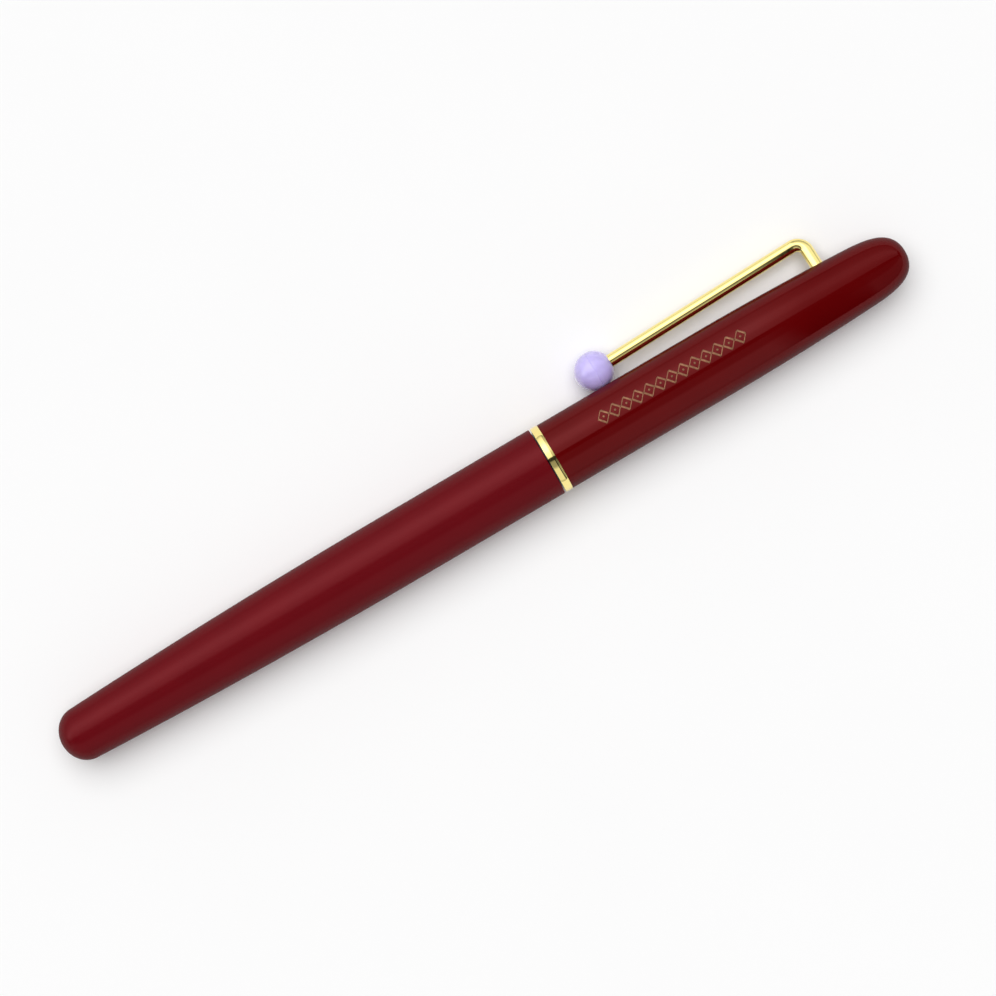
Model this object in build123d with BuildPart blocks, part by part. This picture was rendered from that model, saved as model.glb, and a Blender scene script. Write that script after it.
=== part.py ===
"""A capped fountain pen lying on a table, with a bent-wire clip that ends in a plastic ball.

The pen lies along X, its cap towards +X, and rolls until the clip's ball touches the table, so the
clip's plane dips a little below level on the +Y side. The origin is on the table, at the middle of
the pen's length and width. Lengths are millimetres. Most pieces are turned about the pen's own axis,
and their outlines are given as (distance from the barrel's tail, radius).
"""

from build123d import *
from math import asin, cos, sin
import os

# --- Driving dimensions ---------------------------------------------------------------------------
TOTAL_LENGTH = 140.0  # capped, tail to crown
BARREL_RADIUS = 5.22  # barrel where it is widest
CAP_RADIUS = 5.18  # cap where it is widest
SHELL_WALL = 0.5  # drawn brass tube of cap and barrel
RING_RADIUS = 5.26  # trim ring, a touch proud of the cap
WIRE_RADIUS = 0.97  # clip wire
BALL_RADIUS = 2.92  # ball on the end of the clip
BALL_GAP = 0.05  # clearance between ball and cap when the clip is at rest

# Barrel
BARREL_MOUTH = 80.45
BARREL_TAPER_START = 57.0  # cylinder from here to the mouth
BARREL_NOSE = 3.4  # length of the rounded tail
BARREL_NOSE_RADIUS = 4.0  # radius where the taper meets the tail

# Cap
CAP_MOUTH = 80.65
RING_WIDTH = 1.15
CAP_TAPER_START = 108.0
CAP_NOSE = 132.0  # where the taper meets the rounded crown
CAP_NOSE_RADIUS = 4.58
EDGE_BREAK = 0.08  # small chamfers on turned edges

# Clip
BALL_X = 93.0  # ball centre
LEG_X = 128.3  # centre of the leg that enters the cap
CLIP_TOP = 9.24  # arm's centre line over the leg, from the pen's axis
CLIP_BEND = 1.6  # bend radius at the wire's centre line
LEG_DEPTH = 1.6  # how far the leg runs past the pen's axis
BALL_FLAT = 2.6  # ball's flat face round the wire, from its centre
WIRE_IN_BALL = 1.2  # wire end, beyond the ball's centre
LEG_HOLE_RADIUS = WIRE_RADIUS + 0.03  # holes for the leg in cap and anchor

# Section, nib and feed
THREAD_RADIUS = 4.2  # crest of the barrel thread
THREAD_ROOT = 3.95
THREAD_CLEARANCE = 0.05
THREAD_PITCH = 0.75
TAIL_START = 71.5  # rear end of the threaded tail
COLLAR_FRONT = 88.5
COLLAR_RADIUS = 4.1
GRIP_FRONT = 103.6
SECTION_BORE = 3.4
NIPPLE_RADIUS = 1.25
NIPPLE_TIP = 84.3
HOUSING_REAR = 90.5
HOUSING_RADIUS = 3.0
FEED_RADIUS = 2.38
NIB_THICKNESS = 0.3
NIB_TIP = 119.2

# Converter
TUBE_RADIUS = 3.3
TUBE_BORE = 2.75
TUBE_REAR = 51.0
TUBE_SHOULDER = 86.5
CONVERTER_FRONT = 89.9
BAND_RADIUS = 3.6
BAND_START = 33.0
BAND_END = 56.0
KNOB_REAR = 17.5
KNOB_RADIUS = 3.3
ROD_RADIUS = 1.5
ROD_FLAT = 1.15  # half the rod's width across its flats
ROD_REAR = 43.0
PISTON_REAR = 78.6
PISTON_FRONT = 83.4

# --- The pen's place ------------------------------------------------------------------------------
BALL_REACH = CAP_RADIUS + BALL_GAP + BALL_RADIUS  # pen's axis to ball centre
AXIS_Z = RING_RADIUS
DIP = asin((AXIS_Z - BALL_RADIUS) / BALL_REACH)  # how far the clip dips to rest its ball on the table
AXIS_Y = (RING_RADIUS - BALL_REACH * cos(DIP) - BALL_RADIUS) / 2
TAIL_X = -TOTAL_LENGTH / 2
TAIL = (TAIL_X, AXIS_Y, AXIS_Z)

# Local x runs along the pen from its tail. Local y is a radius: upwards in PEN_PLANE, and towards
# the clip in CLIP_PLANE.
PEN_PLANE = Plane(origin=TAIL, x_dir=(1, 0, 0), z_dir=(0, -1, 0))
CLIP_PLANE = Plane(origin=TAIL, x_dir=(1, 0, 0), z_dir=(0, sin(DIP), cos(DIP)))
PEN_AXIS = Axis(TAIL, (1, 0, 0))
os.makedirs("parts", exist_ok=True)


def across(x):
    """The plane square to the pen's axis at distance x from the tail, local x towards the clip."""
    return Plane(origin=(TAIL_X + x, AXIS_Y, AXIS_Z), x_dir=(0, cos(DIP), -sin(DIP)), z_dir=(1, 0, 0))


def outline(*corners):
    """A flat face on the pen's plane, from its corners as (distance from the tail, radius)."""
    with BuildSketch(PEN_PLANE) as face:
        with BuildLine():
            Polyline(*corners, close=True)
        make_face()
    return face.sketch


def tapered_outline(mouth, taper_start, taper_end, tip, wide, narrow, fullness=(0.55, 0.55)):
    """Half section of a shell's outside or of its bore: a cylinder from the mouth, one long gentle
    arc and a rounded end. fullness says how square the rounded end is, along and across the axis."""
    with BuildSketch(PEN_PLANE) as face:
        with BuildLine():
            side = Line((mouth, wide), (taper_start, wide))
            taper = TangentArc(side @ 1, (taper_end, narrow), tangent=side % 1)
            end_length = abs(tip - taper_end)
            Bezier(
                taper @ 1,
                taper @ 1 + (taper % 1) * end_length * fullness[0],
                (tip, narrow * fullness[1]),
                (tip, 0),
            )
            Polyline((tip, 0), (mouth, 0), (mouth, wide))
        make_face()
    return face.sketch


def leg_plane(height):
    """The plane square to the clip's leg, at a height towards the clip from the pen's axis."""
    return Plane(
        origin=CLIP_PLANE.from_local_coords((LEG_X, height, 0)),
        x_dir=(1, 0, 0),
        z_dir=CLIP_PLANE.y_dir,
    )


def save(part, name):
    """Labels a finished piece and writes it as its own STEP file."""
    part.label = name
    export_step(part, f"parts/{name}.step")


# --- Barrel ---------------------------------------------------------------------------------------
BARREL_BORE = BARREL_RADIUS - SHELL_WALL
TAIL_WALL = 0.8
BUSH_REAR = 72.0
BUSH_RELIEF = 0.2  # bush stands back from the barrel's mouth

with BuildPart() as barrel_shell:
    outside = tapered_outline(
        BARREL_MOUTH, BARREL_TAPER_START, BARREL_NOSE, 0, BARREL_RADIUS, BARREL_NOSE_RADIUS
    )
    bore = tapered_outline(
        BARREL_MOUTH,
        BARREL_TAPER_START,
        BARREL_NOSE,
        TAIL_WALL,
        BARREL_BORE,
        BARREL_NOSE_RADIUS - SHELL_WALL,
    )
    revolve(outside, axis=PEN_AXIS)
    mouth_edge = barrel_shell.edges().filter_by(GeomType.CIRCLE).sort_by(Axis.X)[-1]
    chamfer(mouth_edge, EDGE_BREAK)
    revolve(bore, axis=PEN_AXIS, mode=Mode.SUBTRACT)
save(barrel_shell.part, "barrel_shell")

# The bush is pressed into the barrel's mouth and carries its thread, here a plain bore.
with BuildPart() as barrel_bush:
    revolve(
        outline(
            (BUSH_REAR, THREAD_RADIUS + THREAD_CLEARANCE),
            (BUSH_REAR, BARREL_BORE),
            (BARREL_MOUTH - BUSH_RELIEF, BARREL_BORE),
            (BARREL_MOUTH - BUSH_RELIEF, THREAD_RADIUS + THREAD_CLEARANCE),
        ),
        axis=PEN_AXIS,
    )
    chamfer(barrel_bush.edges().filter_by(GeomType.CIRCLE).sort_by(SortBy.RADIUS)[:2], 0.15)
save(barrel_bush.part, "barrel_bush")

# --- Section --------------------------------------------------------------------------------------
FLANGE_RADIUS = 4.5
FLANGE_FRONT = 81.5
SPIGOT_RADIUS = 3.7  # grip's sleeve inside the metal collar
O_RING_REAR = 79.5
SNAP_X = 85.8  # snap ring's centre
SNAP_WIRE = 0.15
SNAP_RADIUS = 4.1  # snap ring, to its wire's centre
GROOVE_HALF = 0.22
GROOVE_ROOT = 3.92
THREAD_FRONT = 78.6
THREAD_TURNS = int((THREAD_FRONT - TAIL_START) / THREAD_PITCH)


def collar_outline():
    """The metal collar: threaded tail, O-ring seat, flange and the front sleeve with its groove. The
    thread is cut as rings, so that it looks the same at any turn."""
    corners = [(TAIL_START, SECTION_BORE), (TAIL_START, THREAD_ROOT)]
    for turn in range(THREAD_TURNS):
        start = TAIL_START + turn * THREAD_PITCH
        corners += [
            (start + 0.4 * THREAD_PITCH, THREAD_RADIUS),
            (start + 0.6 * THREAD_PITCH, THREAD_RADIUS),
            (start + THREAD_PITCH, THREAD_ROOT),
        ]
    corners += [
        (BARREL_MOUTH, THREAD_ROOT),
        (BARREL_MOUTH, FLANGE_RADIUS),
        (FLANGE_FRONT, FLANGE_RADIUS),
        (FLANGE_FRONT, COLLAR_RADIUS),
        (SNAP_X - GROOVE_HALF, COLLAR_RADIUS),
        (SNAP_X - GROOVE_HALF, GROOVE_ROOT),
        (SNAP_X + GROOVE_HALF, GROOVE_ROOT),
        (SNAP_X + GROOVE_HALF, COLLAR_RADIUS),
        (COLLAR_FRONT, COLLAR_RADIUS),
        (COLLAR_FRONT, SPIGOT_RADIUS),
        (BARREL_MOUTH, SPIGOT_RADIUS),
        (BARREL_MOUTH, SECTION_BORE),
    ]
    return outline(*corners)


with BuildPart() as section_collar:
    revolve(collar_outline(), axis=PEN_AXIS)
save(section_collar.part, "section_collar")

# O-ring between the threaded tail and the barrel, behind the flange.
O_RING_WIRE = 0.135
O_RING_X = 79.9
with BuildPart() as section_o_ring:
    with BuildSketch(PEN_PLANE):
        with Locations((O_RING_X, THREAD_ROOT + O_RING_WIRE + 0.01)):
            Circle(O_RING_WIRE)
    revolve(axis=PEN_AXIS)
save(section_o_ring.part, "section_o_ring")

# Split spring ring in the collar's groove. The cap's clutch clicks over it.
with BuildPart() as snap_ring:
    with BuildSketch(PEN_PLANE):
        with Locations((SNAP_X, SNAP_RADIUS)):
            Circle(SNAP_WIRE)
    revolve(axis=PEN_AXIS, revolution_arc=352)
save(snap_ring.part, "snap_ring")

# Plastic grip: slightly waisted, with a raised lip before its rounded front edge.
GRIP_WAIST_X = 98.0
GRIP_WAIST = 3.72
GRIP_LIP_X = 102.3
GRIP_LIP = 3.95
GRIP_FACE = 3.3
GRIP_STEP = 90.4  # end of the converter's bore
with BuildPart() as grip_section:
    with BuildSketch(PEN_PLANE):
        with BuildLine():
            Spline(
                (COLLAR_FRONT, COLLAR_RADIUS),
                (GRIP_WAIST_X, GRIP_WAIST),
                (GRIP_LIP_X, GRIP_LIP),
                (GRIP_FRONT, GRIP_FACE),
                tangents=((1, 0), (0, -1)),
            )
            Polyline(
                (GRIP_FRONT, GRIP_FACE),
                (GRIP_FRONT, HOUSING_RADIUS),
                (GRIP_STEP, HOUSING_RADIUS),
                (GRIP_STEP, SECTION_BORE),
                (BARREL_MOUTH, SECTION_BORE),
                (BARREL_MOUTH, SPIGOT_RADIUS),
                (COLLAR_FRONT, SPIGOT_RADIUS),
                (COLLAR_FRONT, COLLAR_RADIUS),
            )
        make_face()
    revolve(axis=PEN_AXIS)
save(grip_section.part, "grip_section")

# Housing that holds nib and feed, with the nipple that the converter pushes onto.
HOUSING_BORE = 2.74
HOUSING_FRONT = GRIP_FRONT - 0.3
NIPPLE_BORE = 0.5
HOUSING_FLOOR = 92.0
with BuildPart() as nib_housing:
    revolve(
        outline(
            (NIPPLE_TIP, NIPPLE_BORE),
            (NIPPLE_TIP, NIPPLE_RADIUS - 0.25),
            (NIPPLE_TIP + 0.6, NIPPLE_RADIUS),
            (HOUSING_REAR, NIPPLE_RADIUS),
            (HOUSING_REAR, HOUSING_RADIUS),
            (HOUSING_FRONT, HOUSING_RADIUS),
            (HOUSING_FRONT, HOUSING_BORE),
            (HOUSING_FLOOR, HOUSING_BORE),
            (HOUSING_FLOOR, NIPPLE_BORE),
        ),
        axis=PEN_AXIS,
    )
save(nib_housing.part, "nib_housing")

# --- Nib and feed ---------------------------------------------------------------------------------
NIB_TAIL = 95.0
FEED_REAR = 92.3
NIB_SHOULDER_X = 107.5
NIB_SHOULDER = 3.05  # half the nib's width at its shoulders
NIB_TAIL_WIDTH = 2.35
NIB_FLARE_X = 104.0  # the shank widens from here to the shoulders
NIB_TINE_POINT = (113.0, 1.45)  # half way down the tines
NIB_TIP_WIDTH = 0.36
BREATHER_X = 110.2
BREATHER_RADIUS = 0.5
SLIT = 0.09
NIB_SHANK_RADIUS = 2.72
NIB_SHANK_END = 103.5  # the nib is a plain half tube as far as here
# Circles that the nib's top surface passes through: x, radius, centre's height over the pen's axis.
NIB_ARCHES = ((NIB_SHANK_END, NIB_SHANK_RADIUS, 0.0), (108.5, 3.3, -0.72), (120.5, 2.3, -1.15))


def arch_solid(shrink):
    """The round-backed solid that the nib wraps, with its radii less by shrink."""
    with BuildPart() as solid:
        with BuildSketch(across(FEED_REAR - 1)):
            Circle(NIB_SHANK_RADIUS - shrink)
        extrude(amount=NIB_SHANK_END - FEED_REAR + 1)
        for x, radius, height in NIB_ARCHES:
            with BuildSketch(Plane(origin=(TAIL_X + x, AXIS_Y, AXIS_Z + height), z_dir=(1, 0, 0))):
                Circle(radius - shrink)
        loft()
    return solid.part


# The nib faces straight up, and is cut to its outline from above.
NIB_PLAN = Plane(origin=TAIL, x_dir=(1, 0, 0), z_dir=(0, 0, 1))
with BuildPart() as nib:
    add(arch_solid(0))
    add(arch_solid(NIB_THICKNESS), mode=Mode.SUBTRACT)
    with BuildSketch(NIB_PLAN):
        with BuildLine():
            Line((NIB_TAIL, 0), (NIB_TAIL, NIB_TAIL_WIDTH))
            Line((NIB_TAIL, NIB_TAIL_WIDTH), (NIB_FLARE_X, NIB_TAIL_WIDTH))
            flare = Spline(
                (NIB_FLARE_X, NIB_TAIL_WIDTH),
                (NIB_SHOULDER_X, NIB_SHOULDER),
                tangents=((1, 0.1), (1, 0)),
            )
            Spline(
                flare @ 1,
                NIB_TINE_POINT,
                (NIB_TIP, NIB_TIP_WIDTH),
                tangents=((1, -0.15), (1, -0.1)),
            )
            Line((NIB_TIP, NIB_TIP_WIDTH), (NIB_TIP, 0))
            Line((NIB_TIP, 0), (NIB_TAIL, 0))
        make_face()
        mirror(about=Plane.XZ)
    extrude(amount=CAP_RADIUS, mode=Mode.INTERSECT)
    with BuildSketch(NIB_PLAN):
        with Locations((BREATHER_X, 0)):
            Circle(BREATHER_RADIUS)
        with Locations(((BREATHER_X + NIB_TIP + 1) / 2, 0)):
            Rectangle(NIB_TIP + 1 - BREATHER_X, SLIT)
    extrude(amount=CAP_RADIUS, mode=Mode.SUBTRACT)
save(nib.part, "nib")

# Hard pellet welded under and ahead of the tines, slit with them.
TIP_BALL = 0.38
TIP_HEIGHT = 0.86
with BuildPart() as nib_tipping:
    with BuildSketch(PEN_PLANE):
        with Locations((NIB_TIP + TIP_BALL, TIP_HEIGHT)):
            Circle(TIP_BALL)
        with Locations((NIB_TIP + TIP_BALL, TIP_HEIGHT - TIP_BALL)):
            Rectangle(2 * TIP_BALL, 2 * TIP_BALL, mode=Mode.SUBTRACT)
    extrude(amount=TIP_BALL, both=True)
    with BuildSketch(NIB_PLAN):
        with Locations((NIB_TIP + TIP_BALL, 0)):
            Rectangle(4 * TIP_BALL, SLIT)
    extrude(amount=CAP_RADIUS, mode=Mode.SUBTRACT)
save(nib_tipping.part, "nib_tipping")

FEED_RISE_START = 109.6
FEED_TIP = 117.3
FEED_TIP_HEIGHT = 0.75
FEED_TAPER_START = 107.0
FEED_TAPER_POINT = (112.0, 1.5)  # half way down the tines
FEED_TIP_WIDTH = 0.45
FEED_PLAN_WIDTH = FEED_RADIUS + 0.1  # half the outline's width, clear of the feed's sides
FIN_START = 104.6
FIN_COUNT = 8
FIN_PITCH = 0.62
FIN_SLOT = 0.24
FIN_DEPTH = 0.75
CHANNEL_WIDTH = 0.35  # ink channel under the slit
CHANNEL_FLOOR = 0.6
with BuildPart() as feed:
    with BuildSketch(across(FEED_REAR)):
        Circle(FEED_RADIUS)
    extrude(amount=FEED_TIP - FEED_REAR)
    # The underside rises to a beak under the tines.
    with BuildSketch(PEN_PLANE):
        with BuildLine():
            rise = Spline(
                (FEED_RISE_START, -FEED_RADIUS),
                (113.5, -1.2),
                (FEED_TIP, FEED_TIP_HEIGHT),
                tangents=((1, 0), (1, 0.5)),
            )
            Polyline(rise @ 1, (FEED_TIP, 3), (FEED_REAR, 3), (FEED_REAR, -FEED_RADIUS), rise @ 0)
        make_face()
    extrude(amount=CAP_RADIUS, both=True, mode=Mode.INTERSECT)
    # From above, it narrows under the tines.
    with BuildSketch(NIB_PLAN):
        with BuildLine():
            taper = Spline(
                (FEED_TAPER_START, FEED_PLAN_WIDTH),
                FEED_TAPER_POINT,
                (FEED_TIP, FEED_TIP_WIDTH),
                tangents=((1, 0), (1, -0.1)),
            )
            Polyline(
                taper @ 1, (FEED_TIP, 0), (FEED_REAR, 0), (FEED_REAR, FEED_PLAN_WIDTH), taper @ 0
            )
        make_face()
        mirror(about=Plane.XZ)
    extrude(amount=CAP_RADIUS, both=True, mode=Mode.INTERSECT)
    add(arch_solid(NIB_THICKNESS + 0.02), mode=Mode.INTERSECT)
    for fin in range(FIN_COUNT):
        slot_start = FIN_START + fin * FIN_PITCH
        revolve(
            outline(
                (slot_start, FEED_RADIUS - FIN_DEPTH),
                (slot_start, FEED_RADIUS + 0.1),
                (slot_start + FIN_SLOT, FEED_RADIUS + 0.1),
                (slot_start + FIN_SLOT, FEED_RADIUS - FIN_DEPTH),
            ),
            axis=PEN_AXIS,
            mode=Mode.SUBTRACT,
        )
    with BuildSketch(NIB_PLAN.offset(CHANNEL_FLOOR)):
        with Locations(((FEED_REAR + FEED_TIP) / 2, 0)):
            Rectangle(FEED_TIP - FEED_REAR, CHANNEL_WIDTH)
    extrude(amount=CAP_RADIUS, mode=Mode.SUBTRACT)
save(feed.part, "feed")

# --- Converter ------------------------------------------------------------------------------------
MOUTH_BORE = NIPPLE_RADIUS + 0.03
NECK_RADIUS = 2.4
RESERVOIR_END = 84.0
with BuildPart() as converter_tube:
    revolve(
        outline(
            (TUBE_REAR, TUBE_BORE),
            (TUBE_REAR, TUBE_RADIUS),
            (TUBE_SHOULDER - 0.5, TUBE_RADIUS),
            (TUBE_SHOULDER, NECK_RADIUS + 0.3),
            (TUBE_SHOULDER, NECK_RADIUS),
            (CONVERTER_FRONT - 0.3, NECK_RADIUS),
            (CONVERTER_FRONT, NECK_RADIUS - 0.3),
            (CONVERTER_FRONT, MOUTH_BORE),
            (RESERVOIR_END, MOUTH_BORE),
            (RESERVOIR_END - 0.4, TUBE_BORE),
        ),
        axis=PEN_AXIS,
    )
save(converter_tube.part, "converter_tube")

# Metal band over the tube's rear end. It also keeps the knob's spindle in.
KNOB_SPINDLE = 3.0
with BuildPart() as converter_band:
    revolve(
        outline(
            (BAND_START, KNOB_SPINDLE + 0.05),
            (BAND_START, BAND_RADIUS - 0.2),
            (BAND_START + 0.3, BAND_RADIUS),
            (BAND_END - 0.2, BAND_RADIUS),
            (BAND_END, BAND_RADIUS - 0.15),
            (BAND_END, TUBE_RADIUS),
            (BAND_START + 0.8, TUBE_RADIUS),
            (BAND_START + 0.8, KNOB_SPINDLE + 0.05),
        ),
        axis=PEN_AXIS,
    )
save(converter_band.part, "converter_band")

# Keyed guide: its hole has two flats, so the rod can slide and can't turn.
GUIDE_REAR = 48.6
KEY_CLEARANCE = 0.06
with BuildPart() as rod_guide:
    with BuildSketch(across(GUIDE_REAR)):
        Circle(TUBE_RADIUS)
    extrude(amount=TUBE_REAR - GUIDE_REAR)
    with BuildSketch(across(GUIDE_REAR)):
        Circle(ROD_RADIUS + KEY_CLEARANCE)
        Rectangle(2 * (ROD_FLAT + KEY_CLEARANCE), 4 * ROD_RADIUS, mode=Mode.INTERSECT)
    extrude(amount=TUBE_REAR - GUIDE_REAR, mode=Mode.SUBTRACT)
save(rod_guide.part, "rod_guide")

# The rod ends in a headed peg that the rubber piston snaps onto.
PEG_RADIUS = 0.7
PEG_HEAD_START = PISTON_REAR + 1.4
PEG_HEAD_RADIUS = 1.1
PEG_END = PISTON_REAR + 2.3
with BuildPart() as piston_rod:
    with BuildSketch(across(ROD_REAR)):
        Circle(ROD_RADIUS)
        Rectangle(2 * ROD_FLAT, 4 * ROD_RADIUS, mode=Mode.INTERSECT)
    extrude(amount=PISTON_REAR - ROD_REAR)
    with BuildSketch(across(PISTON_REAR)):
        Circle(PEG_RADIUS)
    extrude(amount=PEG_HEAD_START - PISTON_REAR)
    with BuildSketch(across(PEG_HEAD_START)):
        Circle(PEG_HEAD_RADIUS)
    extrude(amount=PEG_END - PEG_HEAD_START)
save(piston_rod.part, "piston_rod")

SEAL_RADIUS = TUBE_BORE - 0.03
SEAL_WAIST = 2.35
with BuildPart() as piston_seal:
    revolve(
        outline(
            (PISTON_REAR, PEG_RADIUS),
            (PISTON_REAR, SEAL_RADIUS),
            (PISTON_REAR + 1.2, SEAL_RADIUS),
            (PISTON_REAR + 1.5, SEAL_WAIST),
            (PISTON_FRONT - 2.1, SEAL_WAIST),
            (PISTON_FRONT - 1.8, SEAL_RADIUS),
            (PISTON_FRONT - 0.5, SEAL_RADIUS),
            (PISTON_FRONT, SEAL_WAIST),
            (PISTON_FRONT, 0),
            (PEG_END, 0),
            (PEG_END, PEG_HEAD_RADIUS),
            (PEG_HEAD_START, PEG_HEAD_RADIUS),
            (PEG_HEAD_START, PEG_RADIUS),
        ),
        axis=PEN_AXIS,
    )
save(piston_seal.part, "piston_seal")

# Knob: a fluted grip outside the band, and a spindle inside it that ends in the rod's nut.
KNOB_FACE = BAND_START - 0.2
SPINDLE_SHOULDER = BAND_START + 0.85
SHOULDER_RADIUS = TUBE_RADIUS - 0.05  # turns inside the band
SPINDLE_END = GUIDE_REAR - 0.1
SPINDLE_NOSE = KNOB_SPINDLE - 0.2
NUT_START = 44.4
NUT_BORE = ROD_RADIUS + 0.06
KNOB_HOLLOW = 1.8
KNOB_FLUTES = 18
FLUTE_RADIUS = 0.28
FLUTE_MARGIN = 1.2  # flutes stop short of the knob's ends
with BuildPart() as converter_knob:
    revolve(
        outline(
            (KNOB_REAR, 0),
            (KNOB_REAR, KNOB_RADIUS - 0.5),
            (KNOB_REAR + 0.5, KNOB_RADIUS),
            (KNOB_FACE, KNOB_RADIUS),
            (KNOB_FACE, KNOB_SPINDLE),
            (SPINDLE_SHOULDER, KNOB_SPINDLE),
            (SPINDLE_SHOULDER, SHOULDER_RADIUS),
            (SPINDLE_SHOULDER + 1.0, SHOULDER_RADIUS),
            (SPINDLE_SHOULDER + 1.2, SPINDLE_NOSE),
            (SPINDLE_END, SPINDLE_NOSE),
            (SPINDLE_END, NUT_BORE),
            (NUT_START, NUT_BORE),
            (NUT_START, KNOB_HOLLOW),
            (KNOB_REAR + 0.8, KNOB_HOLLOW),
            (KNOB_REAR + 0.8, 0),
        ),
        axis=PEN_AXIS,
    )
    with BuildSketch(across(KNOB_REAR + FLUTE_MARGIN)):
        with PolarLocations(KNOB_RADIUS + 0.08, KNOB_FLUTES):
            Circle(FLUTE_RADIUS)
    extrude(amount=KNOB_FACE - KNOB_REAR - 2 * FLUTE_MARGIN, mode=Mode.SUBTRACT)
save(converter_knob.part, "converter_knob")

# --- Cap ------------------------------------------------------------------------------------------
CAP_BORE = CAP_RADIUS - SHELL_WALL
RING_FRONT = CAP_MOUTH + RING_WIDTH
CROWN_WALL = 0.7
CAP_FULLNESS = (0.52, 0.86)
RING_SLEEVE_END = 84.2
RING_BORE = 4.55
with BuildPart() as cap_shell:
    outside = tapered_outline(
        RING_FRONT, CAP_TAPER_START, CAP_NOSE, TOTAL_LENGTH, CAP_RADIUS, CAP_NOSE_RADIUS, CAP_FULLNESS
    )
    bore = tapered_outline(
        RING_FRONT,
        CAP_TAPER_START,
        CAP_NOSE,
        TOTAL_LENGTH - CROWN_WALL,
        CAP_BORE,
        CAP_NOSE_RADIUS - SHELL_WALL,
        CAP_FULLNESS,
    )
    revolve(outside, axis=PEN_AXIS)
    mouth_edge = cap_shell.edges().filter_by(GeomType.CIRCLE).sort_by(Axis.X)[0]
    chamfer(mouth_edge, EDGE_BREAK)
    revolve(bore, axis=PEN_AXIS, mode=Mode.SUBTRACT)
    with BuildSketch(leg_plane(0)):
        Circle(LEG_HOLE_RADIUS)
    extrude(amount=CAP_RADIUS, mode=Mode.SUBTRACT)
save(cap_shell.part, "cap_shell")

# Trim ring: a slightly crowned flange on the cap's mouth, and a thin sleeve pressed into its bore.
RING_SIDE = RING_RADIUS - EDGE_BREAK
with BuildPart() as cap_ring:
    with BuildSketch(PEN_PLANE):
        with BuildLine():
            crown = ThreePointArc(
                (CAP_MOUTH, RING_SIDE), ((CAP_MOUTH + RING_FRONT) / 2, RING_RADIUS), (RING_FRONT, RING_SIDE)
            )
            Polyline(
                crown @ 1,
                (RING_FRONT, CAP_BORE),
                (RING_SLEEVE_END, CAP_BORE),
                (RING_SLEEVE_END, RING_BORE),
                (CAP_MOUTH, RING_BORE),
                crown @ 0,
            )
        make_face()
    revolve(axis=PEN_AXIS)
save(cap_ring.part, "cap_ring")

# Spring clutch: a split sleeve whose fingers have inward lips that hold behind the snap ring.
CLUTCH_START = 84.4
CLUTCH_END = 90.6
CLUTCH_BORE = 4.45
LIP_RADIUS = 4.3  # bore of the fingers' lips, just over the snap ring
FINGER_ROOT = 88.6
FINGER_RADIUS = 4.6  # the fingers' outside, with room to spring in the cap
FINGER_COUNT = 6
FINGER_GAP = 0.5
with BuildPart() as cap_clutch:
    revolve(
        outline(
            (CLUTCH_START, CLUTCH_BORE),
            (CLUTCH_START, FINGER_RADIUS),
            (FINGER_ROOT, FINGER_RADIUS),
            (FINGER_ROOT + 0.2, CAP_BORE),
            (CLUTCH_END, CAP_BORE),
            (CLUTCH_END, CLUTCH_BORE),
            (CLUTCH_START + 1.1, CLUTCH_BORE),
            (CLUTCH_START + 0.8, LIP_RADIUS),
            (CLUTCH_START + 0.4, LIP_RADIUS),
        ),
        axis=PEN_AXIS,
    )
    with BuildSketch(across(CLUTCH_START)):
        with PolarLocations(FINGER_RADIUS, FINGER_COUNT):
            Rectangle(1.6, FINGER_GAP)
    extrude(amount=FINGER_ROOT - CLUTCH_START - 0.4, mode=Mode.SUBTRACT)
save(cap_clutch.part, "cap_clutch")

# Inner cap: seals on the grip's front edge and keeps the nib from drying out.
INNER_CAP_END = 124.9
INNER_CAP_FLOOR = 124.2
INNER_CAP_NOSE = 4.3  # outside radius at its closed end
INNER_CAP_BORE = 4.2
NIB_CHAMBER = 3.3
SEAT_START = 102.9
SEAT_END = 104.1
with BuildPart() as inner_cap:
    revolve(
        outline(
            (CLUTCH_END, INNER_CAP_BORE),
            (CLUTCH_END, CAP_BORE),
            (CAP_TAPER_START, CAP_BORE),
            (INNER_CAP_END, INNER_CAP_NOSE),
            (INNER_CAP_END, 0),
            (INNER_CAP_FLOOR, 0),
            (INNER_CAP_FLOOR, NIB_CHAMBER),
            (SEAT_END, NIB_CHAMBER),
            (SEAT_START, INNER_CAP_BORE),
        ),
        axis=PEN_AXIS,
    )
save(inner_cap.part, "inner_cap")

# Anchor: a brass plug in the crown. The clip's leg sits in its cross hole, clamped by the screw.
ANCHOR_START = 125.2
ANCHOR_END = 131.8
ANCHOR_WIDE = 4.3  # the plug follows the crown's taper
ANCHOR_NARROW = 4.0
LEG_END_GAP = 0.3  # the cross hole's room past the leg's end
SCREW_RADIUS = 1.25
with BuildPart() as clip_anchor:
    revolve(
        outline(
            (ANCHOR_START, 0),
            (ANCHOR_START, ANCHOR_WIDE),
            (ANCHOR_END, ANCHOR_NARROW),
            (ANCHOR_END, 0),
        ),
        axis=PEN_AXIS,
    )
    with BuildSketch(leg_plane(-LEG_DEPTH - LEG_END_GAP)):
        Circle(LEG_HOLE_RADIUS)
    extrude(amount=2 * CAP_RADIUS, mode=Mode.SUBTRACT)
    with BuildSketch(across(ANCHOR_START)):
        Circle(SCREW_RADIUS)
    extrude(amount=LEG_X - ANCHOR_START, mode=Mode.SUBTRACT)
save(clip_anchor.part, "clip_anchor")

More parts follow.
